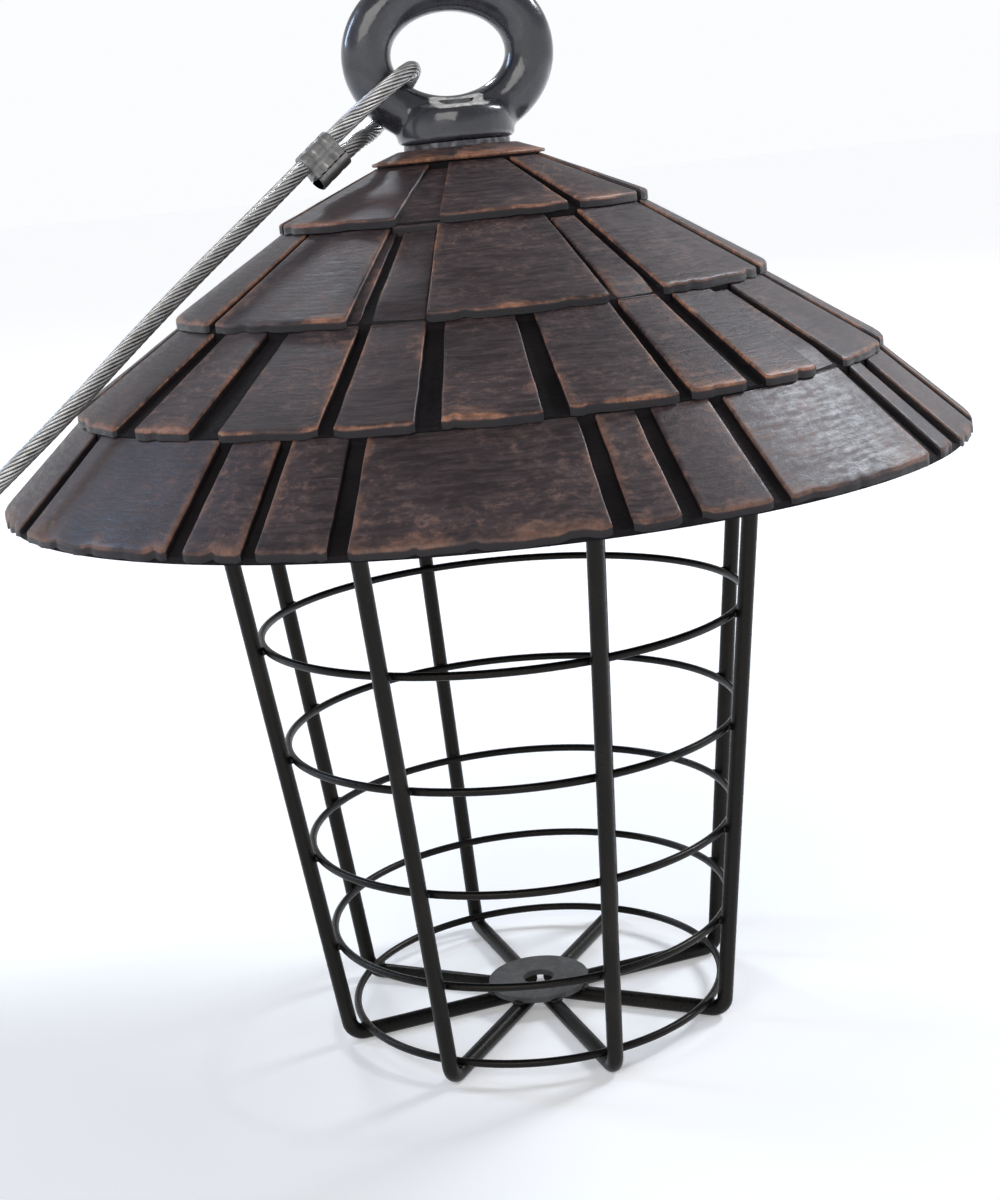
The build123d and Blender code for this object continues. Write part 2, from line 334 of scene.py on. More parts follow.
def make_ferrule(name, centre, along, across):
    """Pressed sleeve with rounded ends and press marks."""
    third = along.cross(across)
    verts, faces = [], []
    for k in range(FERRULE_STEPS + 1):
        t = k / FERRULE_STEPS
        from_end = min(t, 1 - t) * FERRULE_L
        gap = max(0.0, FERRULE_ROUND - from_end)
        shrink = FERRULE_ROUND - sqrt(FERRULE_ROUND**2 - gap**2)
        shrink += sum(CRIMP_DEPTH * smoothstep(*CRIMP_FADE, abs(t - at)) for at in CRIMPS)
        for x, y in lobed_outline(shrink):
            verts.append(centre + along * ((t - 0.5) * FERRULE_L) + across * x + third * y)
    count = len(lobed_outline(0.0))
    for i in range(FERRULE_STEPS):
        for k in range(count):
            a, b = i * count + k, i * count + (k + 1) % count
            faces.append((a, b, b + count, a + count))
    faces.append(tuple(reversed(range(count))))
    faces.append(tuple(FERRULE_STEPS * count + k for k in range(count)))
    made = add_mesh(name, verts, faces)
    made.data.set_sharp_from_angle(angle=FERRULE_SHARP)
    return made


rope, rope_points = make_rope()
place(rope, "rope", "rope_steel", "wire_rope")
near_centre = loop_centre + rope_out * FERRULE_AT
near_ferrule = make_ferrule("near_ferrule_pressed", near_centre, rope_out, rope_up)
place(near_ferrule, "rope", "ferrule_grey", "eye_ferrule")
far_ferrule = make_ferrule("far_ferrule_pressed", FAR_CENTRE, far_fwd, far_side)
place(far_ferrule, "rope", "ferrule_grey", "end_ferrule")

# ---------------------------------------------------------------- materials


# Colour sockets of a Mix node
MIX_A = 6
MIX_B = 7
MIX_RESULT = 2


class Look:
    """A material with short calls for its nodes."""

    def __init__(self, name, **sockets):
        self.material = bpy.data.materials.new(name)
        self.material.use_nodes = True
        self.tree = self.material.node_tree
        self.shader = self.tree.nodes["Principled BSDF"]
        for socket, value in sockets.items():
            self.shader.inputs[socket.replace("_", " ")].default_value = value

    def node(self, kind, **inputs):
        made = self.tree.nodes.new("ShaderNode" + kind)
        for socket, value in inputs.items():
            self.feed(made.inputs[socket.replace("_", " ")], value)
        return made

    def feed(self, socket, value):
        if isinstance(value, bpy.types.NodeSocket):
            self.tree.links.new(value, socket)
        else:
            socket.default_value = value

    def place(self, scale=(1, 1, 1)):
        """Object coordinates, stretched."""
        coordinates = self.node("TexCoord")
        mapping = self.node("Mapping", Vector=coordinates.outputs["Object"], Scale=scale)
        return mapping.outputs["Vector"]

    def mark(self, name, output="Fac"):
        attribute = self.node("Attribute")
        attribute.attribute_name = name
        return attribute.outputs[output]

    def stretched(self, vector, scale):
        return self.node("Mapping", Vector=vector, Scale=scale).outputs["Vector"]

    def cloud(self, vector, scale, detail=4.0, rough=0.55):
        made = self.node("TexNoise", Vector=vector, Scale=scale, Detail=detail, Roughness=rough)
        return made.outputs["Fac"]

    def cut(self, value, low, high, to_low=0.0, to_high=1.0):
        """The value from low to high, eased, as to_low to to_high."""
        made = self.node("MapRange", Value=value)
        made.interpolation_type = "SMOOTHSTEP"
        made.inputs["From Min"].default_value = low
        made.inputs["From Max"].default_value = high
        made.inputs["To Min"].default_value = to_low
        made.inputs["To Max"].default_value = to_high
        return made.outputs["Result"]

    def sum(self, operation, a, b):
        made = self.node("Math")
        made.operation = operation
        self.feed(made.inputs[0], a)
        self.feed(made.inputs[1], b)
        return made.outputs["Value"]

    def blend(self, share, a, b):
        made = self.node("Mix")
        made.data_type = "RGBA"
        self.feed(made.inputs["Factor"], share)
        self.feed(made.inputs[MIX_A], a)
        self.feed(made.inputs[MIX_B], b)
        return made.outputs[MIX_RESULT]

    def bump(self, height, strength, distance, under=None):
        made = self.node("Bump", Strength=strength, Distance=distance, Height=height)
        if under is not None:
            self.feed(made.inputs["Normal"], under)
        return made.outputs["Normal"]

    def finish(self, color, roughness, normal=None, metallic=None):
        self.feed(self.shader.inputs["Base Color"], color)
        self.feed(self.shader.inputs["Roughness"], roughness)
        if normal is not None:
            self.feed(self.shader.inputs["Normal"], normal)
        if metallic is not None:
            self.feed(self.shader.inputs["Metallic"], metallic)
        return self.material


def rgb(red, green, blue):
    return (red, green, blue, 1.0)


def aged_copper():
    """Dark purplish brown with fine cross grain, dusty patches and copper brushed on the edges; painted
    shade on the slat walls, the undersides and the strips seen through the gaps.
    """
    look = Look("aged_copper", Specular_IOR_Level=0.32)
    spot = look.mark("slat_place", "Vector")
    grain = look.cloud(look.stretched(spot, (110, 1100, 40)), 1.0, 6.0, 0.65)
    patch = look.cloud(look.stretched(spot, (55, 75, 40)), 1.0, 5.0, 0.62)
    fleck = look.cloud(look.stretched(spot, (380, 700, 40)), 1.0, 6.0, 0.74)
    scratch = look.cloud(look.stretched(spot, (60, 3200, 40)), 1.0, 2.0, 0.5)
    purple, brown = rgb(0.020, 0.0135, 0.0155), rgb(0.043, 0.030, 0.034)
    dark = look.blend(look.cut(patch, 0.35, 0.68), purple, brown)
    dark = look.blend(look.cut(grain, 0.38, 0.70, 0.0, 0.7), dark, rgb(0.070, 0.050, 0.052))
    patchy = look.cut(patch, 0.38, 0.64, 0.10, 0.85)
    dusty = look.sum("MULTIPLY", look.cut(fleck, 0.47, 0.68), patchy)
    color = look.blend(dusty, dark, rgb(0.165, 0.098, 0.080))
    pale = look.cut(scratch, 0.72, 0.79, 0.0, 0.5)
    color = look.blend(pale, color, rgb(0.24, 0.19, 0.18))
    ragged = look.cloud(look.stretched(spot, (260, 330, 40)), 1.0, 6.0, 0.75)
    ragged = look.sum("MULTIPLY", ragged, 2.0)
    reach = look.sum("MULTIPLY", ragged, look.cut(patch, 0.34, 0.64, 0.25, 1.15))
    from_edge = look.mark("from_edge")
    rubbed = look.cut(look.sum("SUBTRACT", reach, from_edge), -0.05, 0.62, 0.0, 0.92)
    dust_reach = look.sum("MULTIPLY", fleck, 7.5)
    dust_reach = look.sum("MULTIPLY", dust_reach, look.cut(patch, 0.36, 0.62, 0.15, 1.0))
    brushed = look.cut(look.sum("SUBTRACT", dust_reach, from_edge), 0.3, 3.2, 0.0, 0.42)
    dull, bright = rgb(0.135, 0.062, 0.040), rgb(0.36, 0.168, 0.102)
    copper = look.blend(look.cut(fleck, 0.38, 0.66), dull, bright)
    color = look.blend(brushed, color, rgb(0.20, 0.105, 0.072))
    color = look.blend(look.sum("MULTIPLY", rubbed, look.mark("worn")), color, copper)
    # Painted shade: slat walls, undersides and the strips seen through the gaps above go towards near
    # black
    color = look.blend(look.mark("painted_shade"), color, rgb(0.0085, 0.0068, 0.0088))
    roughness = look.cut(look.sum("ADD", grain, fleck), 0.75, 1.35, 0.36, 0.60)
    normal = look.bump(grain, 0.28, 0.3 * MM)
    normal = look.bump(fleck, 0.32, 0.25 * MM, normal)
    return look.finish(color, roughness, normal)


def slit_shade_shell():
    """Roof shell: near black as painted shade for the narrow slits between the slats, faint mould
    grain.
    """
    look = Look("slit_shade_shell", Specular_IOR_Level=0.15)
    at = look.place()
    grain = look.cloud(look.stretched(at, (1, 1, 3)), 700.0, 5.0, 0.6)
    patch = look.cloud(at, 60.0)
    black, worn = rgb(0.0045, 0.0036, 0.0045), rgb(0.012, 0.0095, 0.011)
    # Near black: painted shade in the slits between the slats
    color = look.blend(look.cut(patch, 0.35, 0.7), black, worn)
    roughness = look.cut(grain, 0.3, 0.7, 0.65, 0.85)
    return look.finish(color, roughness, look.bump(grain, 0.4, 0.3 * MM))


def black_wire(name, base, lift):
    """Satin black coat on wire, with a dusty bloom."""
    look = Look(name, Specular_IOR_Level=0.22, Specular_Tint=rgb(1.0, 0.93, 0.84))
    at = look.place()
    skin = look.cloud(at, 900.0, 4.0, 0.6)
    bloom = look.cloud(at, 45.0, 5.0, 0.6)
    color = look.blend(look.cut(bloom, 0.52, 0.74, 0.0, 0.55), base, lift)
    roughness = look.cut(skin, 0.3, 0.7, 0.26, 0.42)
    return look.finish(color, roughness, look.bump(skin, 0.25, 0.15 * MM))


def charcoal_plate():
    """Flat charcoal disc, mottled and finely pitted."""
    look = Look("charcoal_plate")
    at = look.place()
    mottle = look.cloud(at, 260.0, 6.0, 0.65)
    fine = look.cloud(at, 1500.0, 4.0, 0.6)
    dark, pale = rgb(0.042, 0.042, 0.043), rgb(0.085, 0.084, 0.083)
    color = look.blend(look.cut(mottle, 0.3, 0.7), dark, pale)
    roughness = look.cut(fine, 0.3, 0.7, 0.45, 0.65)
    return look.finish(color, roughness, look.bump(fine, 0.4, 0.15 * MM))


def plated_steel(name, bright, pale, dim):
    """Zinc-plated hardware with soft spangle and dull patches."""
    look = Look(name, Metallic=1.0)
    at = look.place()
    spangle = look.cloud(at, 520.0, 2.0, 0.4)
    dull = look.cloud(at, 140.0, 6.0, 0.6)
    tone = look.blend(look.cut(spangle, 0.35, 0.65), bright, pale)
    color = look.blend(look.cut(dull, 0.45, 0.7, 0.0, 0.7), tone, dim)
    roughness = look.cut(dull, 0.3, 0.7, 0.24, 0.46)
    return look.finish(color, roughness, look.bump(dull, 0.2, 0.1 * MM))


def eye_enamel():
    """Gloss slate enamel over a casting, with a painted highlight in pale metal grey on the inner
    bottom of the eye, where the bore breaks out.
    """
    look = Look("eye_enamel", Coat_Weight=0.6, Coat_Roughness=0.06)
    at = look.place()
    cast = look.cloud(at, 160.0, 3.0, 0.5)
    fine = look.cloud(at, 900.0, 4.0, 0.6)
    haze = look.cloud(at, 70.0, 5.0, 0.65)
    slate, hazy = rgb(0.020, 0.021, 0.028), rgb(0.048, 0.050, 0.060)
    enamel = look.blend(look.cut(haze, 0.45, 0.75, 0.0, 0.8), slate, hazy)
    dull, bright = rgb(0.42, 0.41, 0.40), rgb(0.72, 0.71, 0.70)
    painted_glint = look.blend(look.cut(fine, 0.35, 0.65), dull, bright)
    glint_streak = look.cloud(look.stretched(at, (260, 260, 1100)), 1.0, 4.0, 0.6)
    # Painted highlight: pale metal-grey streaks on the inner bottom of the eye, near the bore
    share = look.sum("ADD", look.mark("painted_glint"), look.sum("MULTIPLY", glint_streak, 0.9))
    share = look.cut(share, 0.92, 1.22)
    color = look.blend(share, enamel, painted_glint)
    roughness = look.cut(haze, 0.35, 0.7, 0.16, 0.36)
    roughness = look.sum("ADD", roughness, look.sum("MULTIPLY", share, 0.15))
    normal = look.bump(cast, 0.5, 0.6 * MM)
    normal = look.bump(fine, 0.08, 0.1 * MM, normal)
    return look.finish(color, roughness, normal)


def rope_steel():
    """Steel wires under a thin clear film, with painted shade between them."""
    look = Look("rope_steel", Coat_Weight=0.5, Coat_Roughness=0.12, Metallic=0.85)
    at = look.place()
    grime = look.cloud(at, 320.0, 5.0, 0.65)
    fine = look.cloud(at, 2600.0, 3.0, 0.5)
    deep = look.mark("rope_painted_shade")
    clean, grimy = rgb(0.60, 0.60, 0.60), rgb(0.36, 0.35, 0.33)
    bright = look.blend(look.cut(grime, 0.40, 0.72), clean, grimy)
    # Painted shade: the core and the wires' inner sides go dark
    color = look.blend(deep, bright, rgb(0.07, 0.066, 0.06))
    roughness = look.cut(fine, 0.3, 0.7, 0.26, 0.44)
    return look.finish(color, roughness, look.bump(fine, 0.15, 0.05 * MM))


def pressed_aluminium():
    """Dull grey sleeve with faint press lines."""
    look = Look("pressed_aluminium", Metallic=0.9)
    at = look.place()
    dull = look.cloud(at, 300.0, 6.0, 0.65)
    lines = look.cloud(look.stretched(at, (400, 400, 3000)), 1.0, 3.0, 0.5)
    pale, dark = rgb(0.34, 0.335, 0.33), rgb(0.20, 0.195, 0.19)
    color = look.blend(look.cut(dull, 0.35, 0.7), pale, dark)
    roughness = look.cut(dull, 0.3, 0.7, 0.34, 0.55)
    return look.finish(color, roughness, look.bump(lines, 0.2, 0.08 * MM))


def weld_grey():
    """Painted weld beads, a little rougher than the wire."""
    look = Look("weld_grey", Specular_IOR_Level=0.32)
    at = look.place()
    lumps = look.cloud(at, 1100.0, 4.0, 0.7)
    black, dusty = rgb(0.0045, 0.0045, 0.0048), rgb(0.020, 0.018, 0.017)
    color = look.blend(look.cut(lumps, 0.4, 0.7), black, dusty)
    roughness = look.cut(lumps, 0.3, 0.7, 0.4, 0.62)
    return look.finish(color, roughness, look.bump(lumps, 0.6, 0.2 * MM))


COPPER = aged_copper()
SLIT_SHADE_SHELL = slit_shade_shell()
UPRIGHT_LOOK = black_wire("upright_black", rgb(0.0040, 0.0040, 0.0042), rgb(0.020, 0.018, 0.015))
RING_LOOK = black_wire("ring_black", rgb(0.0038, 0.0038, 0.0040), rgb(0.016, 0.015, 0.014))
STRAP_LOOK = black_wire("strap_black", rgb(0.012, 0.012, 0.013), rgb(0.035, 0.032, 0.029))
PLATE_LOOK = charcoal_plate()
STEEL = plated_steel(
    "plated_steel", rgb(0.42, 0.43, 0.45), rgb(0.56, 0.57, 0.58), rgb(0.25, 0.24, 0.22)
)
# Darker copy of the plated steel: painted shade on the top washer under the eye's collar
SHADED_STEEL = plated_steel(
    "shaded_steel", rgb(0.07, 0.07, 0.075), rgb(0.17, 0.17, 0.18), rgb(0.03, 0.028, 0.025)
)
ENAMEL = eye_enamel()
ROPE_LOOK = rope_steel()
FERRULE_LOOK = pressed_aluminium()
WELD_LOOK = weld_grey()

CAD_LOOKS = {
    "roof_deck": SLIT_SHADE_SHELL,
    "top_ring": RING_LOOK,
    "base_plate": PLATE_LOOK,
    "hanger_strap": STRAP_LOOK,
    "hanger_stud": STEEL,
    "lower_nut": STEEL,
    "upper_nut": STEEL,
    "rest_washer": STEEL,
    "top_washer": SHADED_STEEL,
}
for number in range(1, 9):
    CAD_LOOKS[f"upright_{number}"] = UPRIGHT_LOOK
for number in range(1, 6):
    CAD_LOOKS[f"ring_{number}"] = RING_LOOK
for node, material in CAD_LOOKS.items():
    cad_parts[node].data.materials.clear()
    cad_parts[node].data.materials.append(material)

for ferrule in (near_ferrule, far_ferrule):
    ferrule.data.materials.append(FERRULE_LOOK)


# Facings of a wire's surface, outwards to inwards, over which its painted shade goes from none to full
SHADE_FACING = (0.55, -0.35)


def paint_rope():
    """Paints shade on the core and on the inner side of each wire, then paints the rope."""
    rope_shades = [1.0] * (CORE_SIDES * len(rope_points))
    for wire in range(WIRES):
        for i in range(len(rope_points)):
            turn = wire_turn(wire, i)
            for k in range(WIRE_SIDES):
                facing = cos(2 * pi * k / WIRE_SIDES - turn)
                rope_shades.append(smoothstep(*SHADE_FACING, facing))
    add_floats(rope, "rope_painted_shade", rope_shades)
    rope.data.materials.append(ROPE_LOOK)


paint_rope()

# ---------------------------------------------------------------- roof slats

# Lengths in this section are in millimetres, up to each mesh's points.
# Lower edge of each course as (radius, height), and how a slat stands on the stepped shell
CAP_EDGE = (21.5, 221.4)
EDGES = ((45.5, 207.8), (73.0, 188.2), (99.5, 168.6), (119.5, 147.5))
PLATEAU_R = 20.0
SLAT_RISE = 2.2
STEP = 2.4
OVERHANG = 1.2
COURSE_1 = ((-75, -20), (-7, 32), (36, 67), (71, 112), (118, 140), (146, 188), (195, 226), (232, 281))
COURSE_2 = (
    (-92, -56), (-54, -22), (-8, 24), (35, 67), (70, 96), (100, 131),
    (141, 158), (161, 196), (200, 216), (222, 250), (253, 265),
)
COURSE_3 = (
    (-76, -55), (-50, -39), (-34, -20), (-18, -8), (-5, 7), (10, 24), (25.5, 34),
    (37, 47), (54, 71), (74, 84), (87, 109), (112, 121), (126, 148), (151, 158),
    (162, 181), (183, 197), (202, 224), (227, 236), (240, 257), (260, 270), (273, 281),
)
COURSE_4 = (
    (-61, -34), (-32, -25), (-23.5, -16), (-14, 11), (13, 18), (20, 28), (30, 53),
    (56, 60), (63, 74), (77, 96), (98, 104), (107, 131), (133, 141), (144, 149),
    (152, 178), (181, 190), (192, 212), (215, 221), (223, 240), (243, 266), (268, 275),
    (278, 296),
)
COURSES = (COURSE_1, COURSE_2, COURSE_3, COURSE_4)
GRID = 1.1
EDGE_ROUND = 0.5
EDGE_DROP = 0.42
EDGE_ROWS = (0.0, 0.1, 0.25, 0.5)
CLOSEST_ROWS = 0.08
WIDE_GAP = 6.5
UNDERLAY_RISE = 0.9
UNDERLAY_RAMP = 6.0
BACKINGS = {1: ((-21.5, -6.0),)}
UNDERLAY_WEAR = 0.6
# Painted shade on the strips seen through the gaps above, and on the backing strips
UNDERLAY_PAINTED_SHADE = 0.12
BACKING_PAINTED_SHADE = 0.05
COURSE_WEAR = (0.85, 0.9, 1.0, 0.22)
SLAT_LIFT = (-0.22, 0.08)
MIN_SHEET = 0.25
MIN_THICKNESS = 0.2
SIDE_GAP = 0.12
NICK_EVERY = 13
BELL_BASE = 2.718
CORNER_CUT = 0.35
CORNER_REACH = 1.2
BEDDED = 0.15
# Painted shade on each slat's walls: how far down the wall it starts, and how dark it is
WALL_SHADE_FROM = 0.25
WALL_PAINTED_SHADE = 0.9
FAR_FROM_EDGE = 9.0
UNWORN = 1.6
SLAT_SHARP = radians(48)


def course_lines():
    """(start radius, start height, edge radius, edge height) of the shell under each course."""
    lines = []
    above_r, above_z = PLATEAU_R, CAP_EDGE[1]
    for edge_r, edge_z in EDGES:
        start_r, start_z = above_r, above_z - STEP
        slope = (start_z - edge_z) / (edge_r - start_r)
        lines.append((start_r, start_z, edge_r, edge_z))
        above_r, above_z = edge_r - OVERHANG, edge_z + OVERHANG * slope
    return lines


LINES = course_lines()


def shell_z(course, radius):
    """Height of the shell under a course."""
    start_r, start_z, edge_r, edge_z = LINES[course]
    return start_z - (radius - start_r) * (start_z - edge_z) / (edge_r - start_r)


def slat_top(course, radius):
    """Height of a slat's face, which carries on up under the course above."""
    start_r = LINES[course][0]
    if radius >= start_r:
        return shell_z(course, radius) + SLAT_RISE
    lift = UNDERLAY_RISE * smoothstep(0.0, UNDERLAY_RAMP, start_r - radius)
    return shell_z(course - 1, radius) + max(lift, SLAT_RISE - STEP + MIN_SHEET)


def spread(length, ends):
    """Places across a length, close together at the ends named."""
    inner = max(2, round(length / GRID))
    rows = {length * k / inner for k in range(inner + 1)}
    if "low" in ends:
        rows |= {x for x in EDGE_ROWS if x < length / 2}
    if "high" in ends:
        rows |= {length - x for x in EDGE_ROWS if x < length / 2}
    made = []
    for x in sorted(rows):
        if made and x - made[-1] < CLOSEST_ROWS:
            continue
        made.append(x)
    made[-1] = length
    return made


class Slats:
    """Gathers one course's slats into one mesh."""

    def __init__(self, course):
        self.course = course
        self.verts = []
        self.faces = []
        self.spots = []
        self.edges = []
        self.worn = []
        self.painted_shade = []

    def point(self, azimuth, radius, z, spot, edge, worn, painted_shade):
        """Adds a point and its marks, from millimetres."""
        self.verts.append(Vector((radius * sin(azimuth), -radius * cos(azimuth), z)) * MM)
        self.spots.append(spot)
        self.edges.append(edge)
        self.worn.append(worn)
        self.painted_shade.append(painted_shade)

    def floor(self, radius):
        """Height of a slat's underside, a little into the shell except at an edge."""
        course = self.course if radius >= LINES[self.course][0] else self.course - 1
        bedded = BEDDED if radius < LINES[course][2] - OVERHANG else 0.0
        return shell_z(course, radius) - bedded

    def add(self, azimuths, radii, seed, cut_sides, cut_lower, lift=0.0, worn=1.0, painted_shade=0.0):
        """One closed slab from azimuth to azimuth and from the upper radius to the lower one."""
        rng = random.Random(seed)
        first, last = (radians(a) for a in azimuths)
        upper, lower = radii
        middle = (upper + lower) / 2
        width = (last - first) * middle
        nicks = [
            (rng.uniform(0, width), rng.uniform(0.5, 1.5), rng.uniform(0.15, 0.75))
            for _ in range(max(1, round(width / NICK_EVERY)))
        ]
        skew = rng.uniform(-0.16, 0.16)
        tilt = rng.uniform(-0.012, 0.012)
        spare = [rng.choice((0.0, 0.25, 0.6)) for _ in range(2)]
        spare_low = rng.uniform(0.0, 0.25)
        ends = ("low" if cut_sides[0] else "") + ("high" if cut_sides[1] else "")
        columns = spread(width, ends)
        rows = spread(lower - upper, "high" if cut_lower else "")
        start = len(self.verts)
        slab = []
        for down in rows:
            share = down / (lower - upper)
            for across in columns:
                part = across / width
                cut = 0.0
                if cut_lower:
                    cut = 0.24 + 0.34 * shape_noise(across / 7.0, seed * 3.7)
                    cut += 0.14 * shape_noise(across / 1.7, seed)
                    bells = []
                    for at, wide, deep in nicks:
                        bells.append(deep * pow(BELL_BASE, -(((across - at) / wide) ** 2)))
                    cut += sum(bells)
                    corners = (smoothstep(CORNER_REACH, 0.0, gap) for gap in (across, width - across))
                    cut += CORNER_CUT * sum(corners)
                    cut = max(0.0, cut)
                radius = upper + share * (lower - cut - upper)
                inset = 0.16 * shape_noise(down / 5.0, seed * 1.9, 4.0)
                inset += 0.07 * shape_noise(down / 1.6, seed, 9.0)
                azimuth = first + part * (last - first)
                azimuth += (1 - 2 * part) * (SIDE_GAP + inset) / radius
                azimuth += skew * share * (1 - abs(2 * part - 1)) / radius
                side = min(
                    across if cut_sides[0] else width,
                    (width - across) if cut_sides[1] else width,
                )
                below = (lower - upper - down) if cut_lower else lower
                nearest = min(side, below)
                gap = max(0.0, 1 - nearest / EDGE_ROUND)
                top = slat_top(self.course, radius) + lift
                top += 0.10 * shape_noise(across / 11.0, down / 8.0, seed) + tilt * (across - width / 2)
                top -= EDGE_DROP * (1 - sqrt(max(0.0, 1 - gap * gap)))
                rub = min(
                    (across if cut_sides[0] else FAR_FROM_EDGE) + spare[0],
                    ((width - across) if cut_sides[1] else FAR_FROM_EDGE) + spare[1],
                    0.8 * below + spare_low,
                )
                slab.append((azimuth, radius, top, across, down, rub))
        count = len(columns)
        total = len(slab)
        own = seed * 0.37
        for azimuth, radius, top, across, down, rub in slab:
            self.point(azimuth, radius, top, (across * MM, down * MM, own), rub, worn, painted_shade)
        # Underside points carry full painted shade
        for azimuth, radius, top, across, down, _ in slab:
            z = min(self.floor(radius), top - MIN_THICKNESS)
            self.point(azimuth, radius, z, (across * MM, (down + 2.0) * MM, own), UNWORN, worn, 1.0)
        for i in range(len(rows) - 1):
            for k in range(count - 1):
                a = start + i * count + k
                self.faces.append((a, a + count, a + count + 1, a + 1))
                b = a + total
                self.faces.append((b, b + 1, b + count + 1, b + count))
        rim = list(range(count))
        rim += [i * count + count - 1 for i in range(1, len(rows))]
        rim += [(len(rows) - 1) * count + k for k in reversed(range(count - 1))]
        rim += [i * count for i in reversed(range(1, len(rows) - 1))]
        # A belt round the walls; below it the walls carry painted shade
        belt = len(self.verts)
        for k in rim:
            high, low = self.verts[start + k], self.verts[start + k + total]
            self.verts.append(high.lerp(low, WALL_SHADE_FROM))
            self.spots.append(self.spots[start + k])
            self.edges.append(UNWORN)
            self.worn.append(worn)
            self.painted_shade.append(WALL_PAINTED_SHADE)
        for i, a in enumerate(rim):
            j = (i + 1) % len(rim)
            self.faces.append((start + a, start + rim[j], belt + j, belt + i))
            self.faces.append((belt + i, belt + j, start + rim[j] + total, start + a + total))

    def make(self, name):
        made = add_mesh(name, self.verts, self.faces)
        add_vectors(made, "slat_place", self.spots)
        add_floats(made, "from_edge", self.edges)
        add_floats(made, "worn", self.worn)
        add_floats(made, "painted_shade", self.painted_shade)
        made.data.materials.append(COPPER)
        made.data.set_sharp_from_angle(angle=SLAT_SHARP)
        return made


def gaps_of(course):
    """The wide gaps of a course as (first azimuth, last azimuth)."""
    slats = COURSES[course]
    found = []
    for (_, last), (first, _) in zip(slats, slats[1:] + ((slats[0][0] + 360, 0),)):
        if first - last >= WIDE_GAP:
            found.append((last, first))
    return found


def overlaps(first, last, gap):
    """Where a slat lies behind a gap, trying the gap a turn either way."""
    for turn in (-360, 0, 360):
        low, high = max(first, gap[0] + turn - 1), min(last, gap[1] + turn + 1)
        if high - low > 1:
            yield low, high


def make_course(course):
    """All slats of a course, with the strips of them that show through the gaps above."""
    slats = Slats(course)
    start_r, _, edge_r, _ = LINES[course]
    rng = random.Random(41 + course)
    for number, (first, last) in enumerate(COURSES[course]):
        seed = 100 * (course + 1) + number
        slats.add(
            (first, last), (start_r + 0.3, edge_r), seed, (True, True), True,
            lift=rng.uniform(*SLAT_LIFT), worn=COURSE_WEAR[course],
        )
        if course == 0:
            continue
        for gap in gaps_of(course - 1):
            for low, high in overlaps(first, last, gap):
                slats.add(
                    (low, high), (LINES[course - 1][0] + 0.5, start_r + 0.25), seed,
                    (low <= first, high >= last), False, worn=UNDERLAY_WEAR, painted_shade=UNDERLAY_PAINTED_SHADE,
                )
    for number, (first, last) in enumerate(BACKINGS.get(course, ())):
        slats.add(
            (first, last), (LINES[course - 1][0] + 0.5, start_r + 0.25), 900 + number,
            (False, False), False, worn=UNDERLAY_WEAR, painted_shade=BACKING_PAINTED_SHADE,
        )
    return slats.make(f"slats_{course + 1}")


for course in range(4):
    place(make_course(course), "roof", "shingle_copper", f"shingle_course_{course + 1}")

CAP_TOP_R = 14.6
CAP_TOP_Z = 224.5
ROOF_HOLE_R = 6.5
CAP_SIDES = 160
CAP_SHARP = radians(50)


def make_cap():
    """Shallow cap, lathed, with a hand-worn wavy edge."""
    profile = [
        (ROOF_HOLE_R, CAP_EDGE[1] + 0.02), (20.3, CAP_EDGE[1] + 0.02), (21.2, CAP_EDGE[1] + 0.05),
        (CAP_EDGE[0] - 0.05, CAP_EDGE[1] + 0.3), (CAP_EDGE[0], CAP_EDGE[1] + 0.55),
        (CAP_EDGE[0] - 0.25, CAP_EDGE[1] + 0.85), (20.3, 222.45), (19.0, 222.9), (17.4, 223.45),
        (16.0, 223.95), (15.1, 224.3), (CAP_TOP_R, 224.45), (13.6, CAP_TOP_Z), (ROOF_HOLE_R, CAP_TOP_Z),
    ]
    verts, faces, spots, edges = [], [], [], []
    for k in range(CAP_SIDES):
        turn = 2 * pi * k / CAP_SIDES
        wave = shape_noise(3.1 * cos(turn), 3.1 * sin(turn), 7.0)
        ripple = shape_noise(9.0 * cos(turn), 9.0 * sin(turn), 2.0)
        for radius, z in profile:
            outer = smoothstep(18.0, 21.5, radius)
            reach = radius - outer * max(0.0, 0.25 + 0.25 * wave + 0.12 * ripple)
            verts.append(Vector((reach * sin(turn), -reach * cos(turn), z)) * MM)
            spots.append((turn * 18.0 * MM, radius * MM, 11.0))
            inner = smoothstep(13.5, 17.0, radius)
            edges.append(max(0.0, 1.7 - 1.5 * outer - 0.6 * inner))
    rows = len(profile)
    for k in range(CAP_SIDES):
        here, after = k * rows, ((k + 1) % CAP_SIDES) * rows
        for i in range(rows):
            j = (i + 1) % rows
            faces.append((here + i, after + i, after + j, here + j))
    made = add_mesh("cap_worn", verts, faces)
    add_vectors(made, "slat_place", spots)
    add_floats(made, "from_edge", edges)
    add_floats(made, "worn", [1.0] * len(verts))
    add_floats(made, "painted_shade", [0.0] * len(verts))
    made.data.materials.append(COPPER)
    made.data.set_sharp_from_angle(angle=CAP_SHARP)
    place(made, "roof", "shingle_copper", "roof_cap")


make_cap()

# ---------------------------------------------------------------- eye nut

SEAT_Z = 225.7 * MM
COLLAR_R = 14.4 * MM
COLLAR_H = 8.6 * MM
BORE_R = 6.0 * MM
BORE_TOP_Z = 235.6 * MM
VOXEL = 0.55 * MM
SMOOTH_TIMES = 22
RING_STEPS = 160
BAR_STEPS = 40
COLLAR_SIDES = 96
BORE_SIDES = 64
SADDLE_RINGS = 24
SADDLE_SIDES = 48
SADDLE_HALF = (16.2 * MM, 7.6 * MM, 5.0 * MM)
SADDLE_DROP = 15.6 * MM
EYE_SHARP = radians(45)

